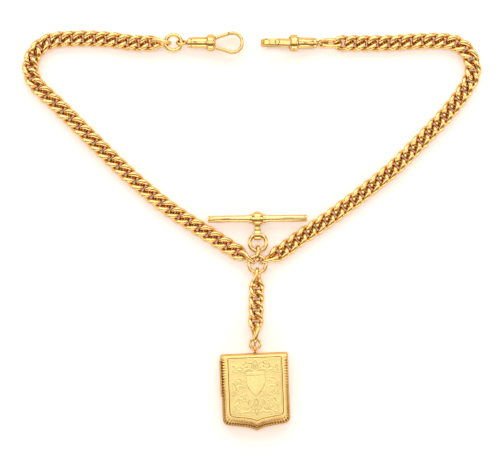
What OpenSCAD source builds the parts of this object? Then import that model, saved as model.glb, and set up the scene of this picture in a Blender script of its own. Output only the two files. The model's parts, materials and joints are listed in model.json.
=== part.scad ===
// Double Albert pocket watch chain: two curb-link branches with dog clips, a T-bar,
// and a short drop chain that carries a hinged shield locket.
// It lies flat on the plane Z = 0, with +Y from the locket towards the clips.

/* [Curb links] */
// Diameter of the wire of a curb link
link_wire = 1.6; // [1.4:0.05:1.6]
// Overall width of a curb link
link_width = 5.7; // [5.7:0.05:5.9]
// Distance between the centres of a link's two end bends
link_reach = 5.95; // [5.8:0.05:6]
// Turn of each end bend out of the link's own plane
link_twist = 50; // [48:1:52]
// Size of a drop-chain link against a branch link
drop_scale = 0.95; // [0.9:0.01:1]

/* [Rings] */
// Wire diameter of the junction ring
junction_wire = 1.25; // [1.1:0.05:1.25]
// Mean diameter of the junction ring
junction_d = 5.9; // [5.8:0.1:6.2]
// Wire diameter of the T-bar ring and of the left branch ring
ring_wire = 1.4; // [1.2:0.1:1.5]
// Mean diameter of the T-bar ring
t_ring_d = 5.8; // [5.6:0.1:6]
// Mean diameter of the left branch ring
left_ring_d = 5.5; // [5.2:0.1:5.8]

/* [T-bar] */
// Length of the bar over its two end caps
bar_length = 34.6; // [30:0.1:34.6]
// Diameter of the bar
bar_d = 2.4; // [2.2:0.1:2.6]
// Diameter of the centre ball
ball_d = 4.9; // [4.4:0.1:5]
// Turn of the bar on the table
bar_turn = 0.7; // [0:0.1:1.5]

/* [Dog clips] */
// Distance from the centre of the swivel eye to the tip of the hook
clip_length = 21.8; // [21:0.1:22.5]
// Diameter of the barrel
barrel_d = 3.8; // [3.4:0.1:4]
// Diameter of the collar
collar_d = 5.8; // [5.6:0.1:6]
// Outer radius of the round end of the hook
hook_r = 3.95; // [3.8:0.05:4.1]
// Width of the flat band that the hook is bent from
band_w = 2.6; // [2.2:0.1:2.6]
// Thickness of that band
band_t = 1.1; // [1:0.05:1.2]

/* [Locket] */
// Width of the locket
locket_w = 23.6; // [22:0.1:24]
// Height of the locket from its top edge to its point
locket_h = 27.1; // [26:0.1:28]
// Thickness of the back case
case_t = 3.1; // [2.8:0.1:3.3]
// Thickness of the front cover, with its bevel
cover_t = 2.2; // [2:0.1:2.4]
// Thickness of the raised shield panel
panel_t = 0.6; // [0.4:0.1:0.8]
// Turn of the locket on the table
locket_turn = 2.3; // [0:0.1:4]

/* [Hidden] */
// Centre of the laid-out chain on the table, which becomes the origin
table_centre = [0.207, -0.312];

groups = 13;                 // sets of neighbouring links in each branch
left_count = 40;
right_count = 39;
drop_links = 6;

function two_digits(n) = n < 10 ? str("0", n) : str(n);
LEFT = [for (g = [1 : groups]) str("left_links_", two_digits(g))];
RIGHT = [for (g = [1 : groups]) str("right_links_", two_digits(g))];
DROP = [for (k = [1 : drop_links]) str("drop_link_", k)];
CLIP_PARTS = ["eye", "barrel", "hook", "gate", "gate_pin", "gate_spring"];

gold = [0.93, 0.72, 0.33];
deep_gold = [0.86, 0.62, 0.25];
steel = [0.62, 0.62, 0.64];
crystal_colour = [0.85, 0.9, 0.92, 0.4];

$fn = 48;
play = 0.1;          // gap between a link and the ring wire that it hooks over
fit = 0.02;          // radial gap of a fixed pin, plug or spigot
running = 0.06;      // radial gap of a turning pin or shank

// Heights of the wire centres above the table
chain_z = 1.86;
ring_z = 2.47;
bar_z = 2.5;

// ---- Links ---------------------------------------------------------------------------

tube_rings = 16;
tube_sides = 6;
squareness = 2.7;    // exponent of the link's rounded-rectangle outline
twist_ease = 0.8;    // exponent that moves the twist towards the middle of the link

function signed_pow(x, p) = sign(x) * pow(abs(x), p);
function mix(a, b, s) = a + (b - a) * s;
function unit(v) = v / norm(v);

// A link shape is [reach, half width, wire at the in end, wire at the out end,
// turn of the in end, turn of the out end, widening from in end to out end]
curb = [link_reach, (link_width - link_wire) / 2, link_wire, link_wire,
        link_twist, -link_twist, 0];

// A point of the link's centre line, in the link's own frame: x from in end to out end
function link_point(s, t) =
    let (u = signed_pow(cos(t), 2 / squareness), v = signed_pow(sin(t), 2 / squareness),
         turn = (s[4] + s[5]) / 2 + (s[5] - s[4]) / 2 * signed_pow(u, twist_ease),
         b = s[1] * (1 + s[6] * u))
    [s[0] / 2 * u, b * v * cos(turn), b * v * sin(turn)];

// The steps crowd where the outline turns, so that the corners stay round
function ring_angle(i) = 360 * (i + 0.5) / tube_rings;

function tube_ring(s, t) =
    let (p = link_point(s, t), d = unit(link_point(s, t + 2) - link_point(s, t - 2)),
         n = unit(p - (p * d) * d), m = cross(d, n),
         r = mix(s[2], s[3], p[0] / s[0] + 0.5) / 2)
    [for (j = [0 : tube_sides - 1])
        p + r * (cos(360 * j / tube_sides) * n + sin(360 * j / tube_sides) * m)];

tube_faces = [
    for (i = [0 : tube_rings - 1], j = [0 : tube_sides - 1])
        let (a = i * tube_sides + j, b = i * tube_sides + (j + 1) % tube_sides,
             c = ((i + 1) % tube_rings) * tube_sides + j,
             d = ((i + 1) % tube_rings) * tube_sides + (j + 1) % tube_sides)
        each [[a, c, d], [a, d, b]]];

// A place is [centre, heading]: the link's x runs along the heading and its y stays level
function to_place(place, p) =
    let (x = place[1], y = unit(cross([0, 0, 1], x)), z = cross(x, y))
    place[0] + p[0] * x + p[1] * y + p[2] * z;

module link(shape, place) {
    rings = [for (i = [0 : tube_rings - 1]) each tube_ring(shape, ring_angle(i))];
    polyhedron([for (p = rings) to_place(place, p)], tube_faces);
}

// ---- Routes --------------------------------------------------------------------------

junction = [2.2, -12.1, ring_z];
junction_r = junction_d / 2;
left_ring_at = [-27.1, 65.3, 2.93];

// Centre lines of the two branches on the table, outwards from the junction ring
left_route = [
    junction, [-5.8, -7.2, 2.2], [-12.5, -3, chain_z], [-20, 1.8, chain_z],
    [-28, 7, chain_z], [-37, 14.2, chain_z], [-46, 22.3, chain_z], [-54.5, 30.6, chain_z],
    [-63, 39.1, chain_z], [-68, 44, chain_z], [-71.8, 47.5, chain_z],
    [-74.6, 50.3, chain_z], [-76.4, 53.3, chain_z], [-77.1, 56.6, chain_z],
    [-76.5, 59.9, chain_z], [-74.8, 62.8, chain_z], [-72.2, 65, chain_z],
    [-68.9, 66.2, chain_z], [-64, 66.7, chain_z], [-56, 66.8, chain_z],
    [-48.5, 66.3, chain_z],
    [-40, 65.2, 2.2], left_ring_at];
right_route = [
    junction, [10.2, -7.8, 2.2], [17, -2.9, chain_z], [24, 1.8, chain_z],
    [31, 6.7, chain_z], [40, 13.6, chain_z], [49.5, 21.3, chain_z], [58, 29.7, chain_z],
    [66, 38, chain_z], [70.2, 42.8, chain_z], [73, 46.4, chain_z],
    [75.2, 49.9, chain_z], [76.9, 52.9, chain_z], [77.5, 56.2, chain_z],
    [76.9, 59.5, chain_z], [75.2, 62.5, chain_z], [72.6, 64.6, chain_z],
    [69.3, 65.7, chain_z], [64, 66, chain_z], [56, 65.7, chain_z],
    [47, 65.2, chain_z], [28.1, 65.2, 1.9]];

route_steps = 12;
function spline(a, b, c, d, u) =
    0.5 * (2 * b + (c - a) * u + (2 * a - 5 * b + 4 * c - d) * u * u
           + (3 * b - a - 3 * c + d) * u * u * u);
function before(r, i) = i > 0 ? r[i - 1] : 2 * r[0] - r[1];
function after(r, i) = i < len(r) ? r[i] : 2 * r[len(r) - 1] - r[len(r) - 2];
function smooth(r) = [
    for (i = [0 : len(r) - 2], k = [0 : route_steps - 1])
        spline(before(r, i), r[i], r[i + 1], after(r, i + 2), k / route_steps),
    r[len(r) - 1]];
// Distance along the route at each of its points
function distances(p) = [
    for (i = 0, s = 0; i < len(p); i = i + 1, s = s + (i < len(p) ? norm(p[i] - p[i - 1]) : 0)) s];
function table_of(r) = let (p = smooth(r), s = distances(p))
    [for (axis = [0 : 2]) [for (i = [0 : len(p) - 1]) [s[i], p[i][axis]]]];
function at(table, s) = [for (axis = [0 : 2]) lookup(s, table[axis])];
function length_of(table) = table[0][len(table[0]) - 1][0];
function place_at(table, s) =
    [at(table, s), unit(at(table, s + 1.5) - at(table, s - 1.5))];

// A branch's link k is centred at start + k * pitch along the route
function pitch(table, start, end, count) =
    (length_of(table) - end - start) / (count - 1);
// The first link of group g when count links are shared over the groups
function first_of(g, count) = floor(g * count / groups);

left_table = table_of(left_route);
right_table = table_of(right_route);

// The ends that hook over a ring are thinner, and stand upright
ring_end_wire = 1.25;
ring_end_taper = 0.1;
ring_end_half = 1.76;
junction_start = junction_r - (junction_wire + ring_end_wire) / 2 - play + link_reach / 2;
first_link = [link_reach, ring_end_half, ring_end_wire, link_wire,
              -90, -link_twist, ring_end_taper];
last_left_link = [link_reach, 1.95, link_wire, ring_end_wire,
                  link_twist, 90, -0.1];

left_end = left_ring_d / 2 - (ring_wire + ring_end_wire) / 2 - play + link_reach / 2;
left_pitch = pitch(left_table, junction_start, left_end, left_count);
function left_place(k) = place_at(left_table, junction_start + k * left_pitch);
function left_shape(k) = k == 0 ? first_link : k == left_count - 1 ? last_left_link : curb;

// The right ring is a long oval, turned to cross the last link squarely
right_ring_shape = [6, 1.7, 1.4, 1.4, 45, 45, 0];
right_end = right_ring_shape[0] / 2 + link_reach / 2 - (link_wire + ring_wire) / 2 - 2 * play;
right_pitch = pitch(right_table, junction_start, right_end, right_count);
function right_place(k) = place_at(right_table, junction_start + k * right_pitch);
function right_shape(k) = k == 0 ? first_link : curb;
right_ring_at = right_route[len(right_route) - 1];
right_ring_place = [right_ring_at, [-1, 0, 0]];

module left_links(g) {
    color(gold)
        for (k = [first_of(g, left_count) : first_of(g + 1, left_count) - 1])
            link(left_shape(k), left_place(k));
}

module right_links(g) {
    color(gold)
        for (k = [first_of(g, right_count) : first_of(g + 1, right_count) - 1])
            link(right_shape(k), right_place(k));
}

// ---- Rings ---------------------------------------------------------------------------

module torus(mean_d, wire) {
    rotate_extrude()
        translate([mean_d / 2, 0])
            circle(d = wire);
}

module junction_ring() {
    color(gold)
        translate(junction)
            torus(junction_d, junction_wire);
}

module left_ring() {
    color(gold)
        translate(left_ring_at)
            torus(left_ring_d, ring_wire);
}

module right_ring() {
    color(gold)
        link(right_ring_shape, right_ring_place);
}

// ---- T-bar ---------------------------------------------------------------------------

ball_at = [2.2, 3.95, bar_z];
ball_half = 2.9;             // half the length of the ball along the bar
shoulder_r = 1.6;            // radius at the ends of the ball
t_ring_at = [2.4, -4.5, ring_z];
t_ring_r = t_ring_d / 2;
eye_hole_r = 1.25;
eye_rim = 0.75;
eye_w = 2.4;
// The wire of the T-bar ring lies against the far side of the eye
eye_drop = 0.45;
eye_y = t_ring_at[1] + t_ring_r - ring_wire / 2 - eye_drop - play + eye_hole_r;
neck_r = 1.1;
neck_depth = 0.9;            // length of the neck inside the ball
tube_wall = 0.35;
plug_length = 1.6;

module at_ball() {
    translate(ball_at)
        rotate([0, 0, bar_turn])
            children();
}

module t_bar_rod() {
    half = bar_length / 2 - 0.7;
    color(gold)
        at_ball()
            rotate([0, 90, 0])
                difference() {
                    cylinder(d = bar_d, h = 2 * half, center = true);
                    cylinder(d = bar_d - 2 * tube_wall, h = 2 * half + 1, center = true);
                }
}

module bar_cap() {
    half = bar_length / 2 - 0.7;
    rotate([0, 90, 0]) {
        translate([0, 0, half - plug_length])
            cylinder(r = bar_d / 2 - tube_wall - fit, h = plug_length + 0.1);
        translate([0, 0, half])
            rotate_extrude()
                polygon([[0, 0], [bar_d / 2, 0], [bar_d / 2, 0.35],
                         for (a = [15 : 15 : 90])
                            [bar_d / 2 - 0.35 + 0.35 * cos(a), 0.35 + 0.35 * sin(a)],
                         [0, 0.7]]);
    }
}

module t_bar_caps() {
    color(gold)
        at_ball()
            for (side = [0, 180])
                rotate([0, 0, side])
                    bar_cap();
}

module t_bar_ball() {
    color(gold)
        at_ball()
            difference() {
                rotate([0, 90, 0])
                    rotate_extrude()
                        polygon([[0, -ball_half], [shoulder_r, -ball_half],
                                 [shoulder_r + 0.15, -ball_half + 0.7],
                                 [ball_d / 2 - 0.3, -1.1], [ball_d / 2, -0.6],
                                 [ball_d / 2, 0.6], [ball_d / 2 - 0.3, 1.1],
                                 [shoulder_r + 0.15, ball_half - 0.7],
                                 [shoulder_r, ball_half], [0, ball_half]]);
                rotate([0, 90, 0])
                    cylinder(r = bar_d / 2 + fit, h = 2 * ball_half + 1, center = true);
                rotate([90, 0, 0])
                    cylinder(r = neck_r + fit, h = ball_d);
            }
}

module t_bar_eye() {
    top = -ball_d / 2 + neck_depth;
    eye = eye_y - ball_at[1];
    color(gold)
        at_ball()
            difference() {
                union() {
                    translate([0, eye, 0])
                        rotate([0, 90, 0])
                            cylinder(r = eye_hole_r + eye_rim, h = eye_w, center = true);
                    translate([0, top, 0])
                        rotate([90, 0, 0])
                            cylinder(r = neck_r, h = top - eye - eye_hole_r);
                }
                translate([0, eye, 0])
                    rotate([0, 90, 0])
                        cylinder(r = eye_hole_r, h = 3 * eye_w, center = true);
            }
}

module t_bar_ring() {
    color(gold)
        translate(t_ring_at)
            torus(t_ring_d, ring_wire);
}

// The connecting link hooks over the junction ring and the T-bar ring
t_link_wire = 1.3;
t_link_in = junction[1] + junction_r - (junction_wire + t_link_wire) / 2 - play;
t_link_out = t_ring_at[1] - t_ring_r + (ring_wire + t_link_wire) / 2 + play;
t_link_shape = [t_link_out - t_link_in, 1.66, t_link_wire, t_link_wire, 80, 100, 0];
t_link_place = [[2.35, (t_link_in + t_link_out) / 2, ring_z], [0, 1, 0]];

module t_bar_link() {
    color(gold)
        link(t_link_shape, t_link_place);
}

// ---- Dog clips -----------------------------------------------------------------------
// A clip's own frame: x from the swivel eye to the tip, the gate on the +y side

eye_r = 1.5;
eye_wire = 1;
shank_r = 0.6;
head_r = 1;
barrel_from = 2.2;
cap_length = 1.3;
barrel_to = 9;
collar_to = 11.5;
hook_c = clip_length - hook_r;      // centre of the hook's round end
arm_y = 1.9;                        // outer half width of the hook at the collar
notch_x = 16.6;                     // where the gate meets the tip of the hook
gate_pivot = [10.4, 1.2];
gate_from = 12;
gate_eye_r = 0.8;
gate_pin_r = 0.35;
gate_web = 0.7;                     // half width of the gate's root
slot_half = 0.8;                    // half width of the gate's slot in the collar
collar_edge = 0.4;

left_clip_at = left_ring_at + [left_ring_d / 2, 0, 0];
right_clip_at = right_ring_at - [right_ring_shape[0] / 2, 0, 0];
right_clip_rise = -6.7;         // tilts the standing clip up from the table
left_eye_roll = 28;             // turn of the left eye about its clip

module at_left_clip() {
    translate(left_clip_at)
        children();
}

module at_right_clip() {
    translate(right_clip_at)
        rotate([0, right_clip_rise, 180])
            rotate([90, 0, 0])
                children();
}

module swivel_eye() {
    color(gold) {
        rotate([90, 0, 0])
            torus(2 * eye_r, eye_wire);
        rotate([0, 90, 0]) {
            translate([0, 0, eye_r])
                cylinder(r = shank_r, h = barrel_from + cap_length + 0.2 - eye_r);
            translate([0, 0, barrel_from + cap_length + 0.1])
                cylinder(r = head_r, h = 0.6);
        }
    }
}

module clip_barrel() {
    r = barrel_d / 2;
    end = barrel_from + cap_length;
    color(gold)
        rotate([0, 90, 0])
            rotate_extrude()
                polygon([[shank_r + running, barrel_from], [r - 0.35, barrel_from],
                         [r - 0.1, barrel_from + 0.3], [r - 0.1, end - 0.2], [r - 0.3, end],
                         [r, end + 0.25], [r, barrel_to], [0, barrel_to],
                         [0, end + 2], [head_r + 0.2, end + 2], [head_r + 0.2, end],
                         [shank_r + running, end]]);
}

// Outline of the hook's outer edge, or of its inner edge when inset is the band's thickness
function hook_outline(inset) =
    let (r = hook_r - inset, h = arm_y - inset, reach = collar_to - 0.5 - hook_c,
         d = norm([reach, h]), leave = atan2(h, reach) - acos(r / d), steps = 24)
    concat([[collar_to - 0.5, h]],
           [for (i = [0 : steps])
                let (a = leave * (1 - 2 * i / steps)) [hook_c + r * cos(a), r * sin(a)]],
           [[collar_to - 0.5, -h]]);

module hook_band() {
    difference() {
        polygon(hook_outline(0));
        polygon(hook_outline(band_t));
    }
}

// The part of the band that is the gate, cut back by a gap at its tip. The cut leans so that
// the nose of the hook stops the gate from opening outwards.
module gate_cut(gap) {
    polygon([[collar_to - 1, 0], [notch_x + 1.3 - gap, 0], [notch_x - 0.84 - gap, hook_r + 1],
             [collar_to - 1, hook_r + 1]]);
}

module clip_hook() {
    r = collar_d / 2;
    e = collar_edge;
    color(gold)
        difference() {
            union() {
                linear_extrude(band_w, center = true)
                    difference() {
                        hook_band();
                        gate_cut(0);
                    }
                rotate([0, 90, 0])
                    rotate_extrude()
                        polygon([[0, barrel_to], [r - e, barrel_to], [r, barrel_to + e],
                                 [r, collar_to - e], [r - e, collar_to], [0, collar_to]]);
            }
            translate([barrel_to + 0.3, -0.2, -slot_half])
                cube([3, r + 1, 2 * slot_half]);
            translate([gate_pivot[0], gate_pivot[1], 0])
                cylinder(r = gate_pin_r + fit, h = 2 * r, center = true);
        }
}

module clip_gate() {
    color(gold)
        difference() {
            union() {
                linear_extrude(band_w, center = true)
                    intersection() {
                        hook_band();
                        gate_cut(0.12);
                        translate([gate_from, 0])
                            square([10, 10]);
                    }
                linear_extrude(2 * gate_web, center = true)
                    polygon([[gate_pivot[0], gate_pivot[1] - 0.6], [gate_from + 0.3, 1.1],
                             [gate_from + 0.3, 1.85], [gate_pivot[0], gate_pivot[1] + 0.6]]);
                translate([gate_pivot[0], gate_pivot[1], 0])
                    cylinder(r = gate_eye_r, h = 2 * gate_web, center = true);
            }
            translate([gate_pivot[0], gate_pivot[1], 0])
                cylinder(r = gate_pin_r + running, h = 4, center = true);
        }
}

module clip_gate_pin() {
    // The pin is as long as the collar is thick where it crosses
    half = sqrt(pow(collar_d / 2, 2) - pow(gate_pivot[1] + gate_pin_r, 2));
    color(deep_gold)
        translate([gate_pivot[0], gate_pivot[1], 0])
            cylinder(r = gate_pin_r, h = 2 * half, center = true);
}

module clip_gate_spring() {
    color(steel)
        translate([barrel_to + 0.34, 0, -0.6])
            cube([0.12, 2.2, 1.2]);
}

module left_clip_eye() {
    at_left_clip()
        rotate([left_eye_roll, 0, 0])
            swivel_eye();
}

module right_clip_eye() {
    translate(right_clip_at)
        rotate([0, right_clip_rise, 180])
            rotate([45, 0, 0])
                swivel_eye();
}

// ---- Drop chain ----------------------------------------------------------------------

drop_reach = link_reach * drop_scale;
drop_pitch = 4 * drop_scale;
drop_wire = link_wire * drop_scale;
drop_curb = [drop_reach, curb[1] * drop_scale, drop_wire, drop_wire,
             link_twist, -link_twist, 0];
first_drop = [drop_reach, ring_end_half + 0.1, ring_end_wire, drop_wire,
              -90, -link_twist, ring_end_taper];
last_drop_reach = drop_reach + 0.8;
last_drop_end = 1.2;         // its wire at the locket's jump ring
last_drop = [last_drop_reach, ring_end_half, drop_wire, last_drop_end,
             link_twist, 90, -ring_end_taper];
drop_start = junction_r - (junction_wire + ring_end_wire) / 2 - play + drop_reach / 2;
drop_heading = unit([-0.03, -1, 0]);

function drop_height(k) = k == 0 ? 2.4 : k == 1 ? 2.1 : k == 4 ? 2.1 : k == 5 ? 2.35 : chain_z;
function drop_shift(k) = k == drop_links - 1 ? (last_drop_reach - drop_reach) / 2 : 0;
function drop_centre(k) =
    let (p = junction + (drop_start + k * drop_pitch + drop_shift(k)) * drop_heading)
    [p[0], p[1], drop_height(k)];
function drop_shape(k) = k == 0 ? first_drop : k == drop_links - 1 ? last_drop : drop_curb;

module drop_link(k) {
    color(gold)
        link(drop_shape(k), [drop_centre(k), drop_heading]);
}

// ---- Locket --------------------------------------------------------------------------
// The locket's own frame: x across it, y up to its top edge, z through it from the back

locket_ring_d = 3.6;
locket_ring_wire = 0.9;
locket_ring_at = drop_centre(drop_links - 1)
    + (last_drop_reach / 2 - (last_drop_end + locket_ring_wire) / 2 - play
       + locket_ring_d / 2) * drop_heading;
locket_at = [1.5, -56.55];
locket_top = 13.5;
half_w = locket_w / 2;
seam = 0.06;                 // gap between the case and the closed cover
wall = 1;
bail_r = 1.25;
bail_wire = 0.9;
hinge_from = -1.1;
hinge_length = 12.7;
knuckles = 5;
knuckle_r = 0.55;
knuckle_gap = 0.06;
hinge_pin_r = 0.25;
hinge_x = -half_w + 0.1;
hinge_z = case_t + seam / 2;

module at_locket() {
    translate(locket_at)
        rotate([0, 0, locket_turn])
            children();
}

function arc(c, r, from, to, steps) =
    [for (i = [0 : steps]) c + r * [cos(mix(from, to, i / steps)), sin(mix(from, to, i / steps))]];

// Left half of a heater shield: w is the half width, top and foot are the heights of its
// top edge and lower corners, tip is the height of its point, r rounds the lower corner
function shield_half(w, top, foot, tip, r, r_top) = concat(
    arc([-w + r_top, top - r_top], r_top, 90, 180, 3),
    arc([-w + r, foot + r], r, 180, 250, 6),
    [[-w * 0.42, foot + (tip - foot) * 0.28], [-w * 0.2, foot + (tip - foot) * 0.55],
     [-w * 0.08, foot + (tip - foot) * 0.86], [0, tip]]);
function mirrored(half) = [for (i = [len(half) - 2 : -1 : 0]) [-half[i][0], half[i][1]]];
function shield(w, top, foot, tip, r, r_top) =
    let (half = shield_half(w, top, foot, tip, r, r_top)) concat(half, mirrored(half));

locket_tip = locket_top - locket_h;
function locket_outline(inset) =
    shield(half_w - inset, locket_top - inset, locket_tip + 2.2 + inset,
           locket_tip + 1.3 * inset, max(0.4, 2.4 - inset), max(0.2, 0.6 - inset));
panel_shift = 0.2;           // the panel sits a little nearer the free edge
panel_outline = [for (p = shield(9.3, locket_top - 1.4, -8.15, -9.75, 1.6, 0.4))
    p + [panel_shift, 0]];

module knuckle_row(first) {
    step = hinge_length / knuckles;
    for (i = [first : 2 : knuckles - 1])
        translate([0, hinge_from + i * step + knuckle_gap / 2, hinge_z])
            rotate([-90, 0, 0])
                cylinder(r = knuckle_r, h = step - knuckle_gap);
}

module hinge_bore() {
    translate([hinge_x, hinge_from - 1, hinge_z])
        rotate([-90, 0, 0])
            cylinder(r = hinge_pin_r + running, h = hinge_length + 2);
}

// Room that one half leaves for the knuckles of the other half
module knuckle_room(first) {
    step = hinge_length / knuckles;
    for (i = [first : 2 : knuckles - 1])
        translate([hinge_x, hinge_from + i * step - knuckle_gap / 2, hinge_z])
            rotate([-90, 0, 0])
                cylinder(r = knuckle_r + 0.12, h = step + knuckle_gap);
}

// Centre of the bail: on the wire at the far side of the jump ring
bail_gap = locket_ring_at + locket_ring_d / 2 * drop_heading - [locket_at[0], locket_at[1], 0];
bail_at = [bail_gap[0] * cos(locket_turn) + bail_gap[1] * sin(locket_turn),
           bail_gap[1] * cos(locket_turn) - bail_gap[0] * sin(locket_turn), bail_gap[2]];

module bail() {
    translate(bail_at)
        rotate([0, 90, 0])
            torus(2 * bail_r, bail_wire);
    translate([bail_at[0], locket_top - 0.3, bail_at[2]])
        rotate([-90, 0, 0])
            cylinder(d = bail_wire, h = bail_at[1] - bail_r - locket_top + 0.3);
}

module locket_case() {
    color(deep_gold)
        at_locket()
            difference() {
                union() {
                    linear_extrude(case_t)
                        polygon(locket_outline(0));
                    translate([hinge_x, 0, 0])
                        knuckle_row(0);
                    bail();
                }
                translate([0, 0, wall])
                    linear_extrude(case_t)
                        polygon(locket_outline(1.8));
                knuckle_room(1);
                hinge_bore();
            }
}

module locket_cover() {
    color(gold)
        at_locket()
            difference() {
                union() {
                    translate([0, 0, case_t + seam])
                        linear_extrude(cover_t - 0.7)
                            polygon(locket_outline(0.25));
                    translate([0, 0, case_t + seam + cover_t - 0.7])
                        linear_extrude(0.35)
                            polygon(locket_outline(0.5));
                    translate([0, 0, case_t + seam + cover_t - 0.35])
                        linear_extrude(0.35)
                            polygon(locket_outline(1.1));
                    translate([hinge_x, 0, 0])
                        knuckle_row(1);
                }
                translate([0, 0, case_t])
                    linear_extrude(cover_t - wall)
                        polygon(locket_outline(1.8));
                knuckle_room(0);
                hinge_bore();
            }
}

module locket_panel() {
    color(gold)
        at_locket()
            translate([0, 0, case_t + seam + cover_t])
                linear_extrude(panel_t)
                    polygon(panel_outline);
}

module locket_hinge_pin() {
    color(deep_gold)
        at_locket()
            translate([hinge_x, hinge_from + 0.1, hinge_z])
                rotate([-90, 0, 0])
                    cylinder(r = hinge_pin_r, h = hinge_length - 0.2);
}

// The rim holds a picture and its crystal in the case
module locket_rim() {
    color(gold)
        at_locket()
            translate([0, 0, wall + 0.5])
                linear_extrude(1.2)
                    difference() {
                        polygon(locket_outline(1.85));
                        polygon(locket_outline(2.7));
                    }
}

module locket_crystal() {
    color(crystal_colour)
        at_locket()
            translate([0, 0, wall + 0.02])
                linear_extrude(0.46)
                    polygon(locket_outline(1.9));
}

module locket_ring() {
    color(gold)
        translate(locket_ring_at)
            torus(locket_ring_d, locket_ring_wire);
}

// ---- Nodes ---------------------------------------------------------------------------

translate([-table_centre[0], -table_centre[1], 0]) {
    junction_ring();
    for (g = [0 : groups - 1]) {
        left_links(g);
        right_links(g);
    }
    left_ring();
    left_clip_eye();
    at_left_clip() clip_barrel();  // left_clip_barrel
    at_left_clip() clip_hook();  // left_clip_hook
    at_left_clip() clip_gate();  // left_clip_gate
    at_left_clip() clip_gate_pin();  // left_clip_gate_pin
    at_left_clip() clip_gate_spring();  // left_clip_gate_spring
    right_ring();
    right_clip_eye();
    at_right_clip() clip_barrel();  // right_clip_barrel
    at_right_clip() clip_hook();  // right_clip_hook
    at_right_clip() clip_gate();  // right_clip_gate
    at_right_clip() clip_gate_pin();  // right_clip_gate_pin
    at_right_clip() clip_gate_spring();  // right_clip_gate_spring
    t_bar_link();
    t_bar_ring();
    t_bar_eye();
    t_bar_ball();
    t_bar_rod();
    t_bar_caps();
    for (k = [0 : drop_links - 1]) {
        drop_link(k);
    }
    locket_ring();
    locket_case();
    locket_cover();
    locket_panel();
    locket_hinge_pin();
    locket_rim();
    locket_crystal();
}
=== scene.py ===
"""Looks of the double Albert pocket watch chain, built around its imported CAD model."""
import json
import math

import bpy
import numpy as np
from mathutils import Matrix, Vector


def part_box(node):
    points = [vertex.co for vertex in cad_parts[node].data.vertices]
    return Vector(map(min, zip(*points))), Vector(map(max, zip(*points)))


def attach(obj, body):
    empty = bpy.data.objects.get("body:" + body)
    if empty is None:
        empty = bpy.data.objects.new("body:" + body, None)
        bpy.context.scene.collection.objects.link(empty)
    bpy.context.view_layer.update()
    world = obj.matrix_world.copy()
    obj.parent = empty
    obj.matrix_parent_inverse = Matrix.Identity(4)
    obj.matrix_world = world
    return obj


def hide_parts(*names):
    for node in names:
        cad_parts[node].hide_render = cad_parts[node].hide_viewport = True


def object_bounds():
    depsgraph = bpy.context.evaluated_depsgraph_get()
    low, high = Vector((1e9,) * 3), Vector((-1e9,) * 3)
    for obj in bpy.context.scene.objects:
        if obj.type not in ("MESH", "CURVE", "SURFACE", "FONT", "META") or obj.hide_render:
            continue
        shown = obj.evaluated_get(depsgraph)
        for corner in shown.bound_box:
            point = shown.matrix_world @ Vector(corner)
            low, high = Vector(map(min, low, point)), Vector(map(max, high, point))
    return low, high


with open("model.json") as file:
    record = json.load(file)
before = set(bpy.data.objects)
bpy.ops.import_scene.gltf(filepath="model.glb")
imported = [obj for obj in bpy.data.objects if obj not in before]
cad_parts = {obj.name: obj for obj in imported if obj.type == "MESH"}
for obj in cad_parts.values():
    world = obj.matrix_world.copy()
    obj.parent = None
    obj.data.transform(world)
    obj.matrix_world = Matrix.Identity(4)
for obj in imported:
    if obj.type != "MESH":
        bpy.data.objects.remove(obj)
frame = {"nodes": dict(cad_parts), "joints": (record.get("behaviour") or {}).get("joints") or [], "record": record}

CAD_BOX = [list(corner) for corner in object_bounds()]
MM = 0.001
UP = np.array([0.0, 0.0, 1.0])
JOINTS = {joint["name"]: joint for joint in frame["joints"]}
MOUNTS = {mount["name"]: mount for mount in frame["record"]["mounts"]}


# ---- Camera, lights and table ---------------------------------------------------------

VIEW_WIDTH = 175 * MM           # width of the table that the picture shows
VIEW_SHIFT = (-0.6 * MM, 1.5 * MM)
CAMERA_HEIGHT = 0.8
SENSOR = 36.0
ROOM_COLOUR = (1.0, 0.74, 0.52, 1.0)
ROOM_STRENGTH = 0.26


def add_camera():
    """A camera that looks straight down, with +Y up in the picture."""
    data = bpy.data.cameras.new("camera")
    data.sensor_width = SENSOR
    data.lens = SENSOR * CAMERA_HEIGHT / VIEW_WIDTH
    camera = bpy.data.objects.new("camera", data)
    middle = (np.array(CAD_BOX[0]) + np.array(CAD_BOX[1])) / 2
    camera.location = (middle[0] + VIEW_SHIFT[0], middle[1] + VIEW_SHIFT[1], CAMERA_HEIGHT)
    bpy.context.collection.objects.link(camera)
    bpy.context.scene.camera = camera


def add_light(name, place, size, radiance):
    """A rectangular softbox that faces the middle of the table."""
    data = bpy.data.lights.new(name, "AREA")
    data.shape = "RECTANGLE"
    data.size, data.size_y = size
    data.energy = radiance * math.pi * size[0] * size[1]
    light = bpy.data.objects.new(name, data)
    light.location = place
    light.rotation_euler = (-Vector(place)).to_track_quat("-Z", "Y").to_euler()
    light.visible_camera = False
    bpy.context.collection.objects.link(light)


def add_lights():
    """Soft boxes overhead and on four sides, in a dimmer, warmer room."""
    add_light("softbox_top", (0.0, 0.17, 1.15), (1.2, 0.82), 1.25)
    add_light("softbox_back", (0.0, 0.75, 0.52), (1.6, 0.62), 2.2)
    add_light("softbox_front", (0.0, -0.85, 0.34), (1.4, 0.4), 2.0)
    add_light("softbox_left", (-0.85, 0.1, 0.50), (0.45, 0.9), 1.6)
    add_light("softbox_right", (0.85, 0.1, 0.50), (0.45, 0.9), 1.4)
    world = bpy.data.worlds.new("room")
    bpy.context.scene.world = world
    world.use_nodes = True
    background = world.node_tree.nodes["Background"]
    background.inputs["Color"].default_value = ROOM_COLOUR
    background.inputs["Strength"].default_value = ROOM_STRENGTH
    # the default view transform washes the gold out
    bpy.context.scene.view_settings.view_transform = "Standard"


# ---- Materials -------------------------------------------------------------------------

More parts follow.
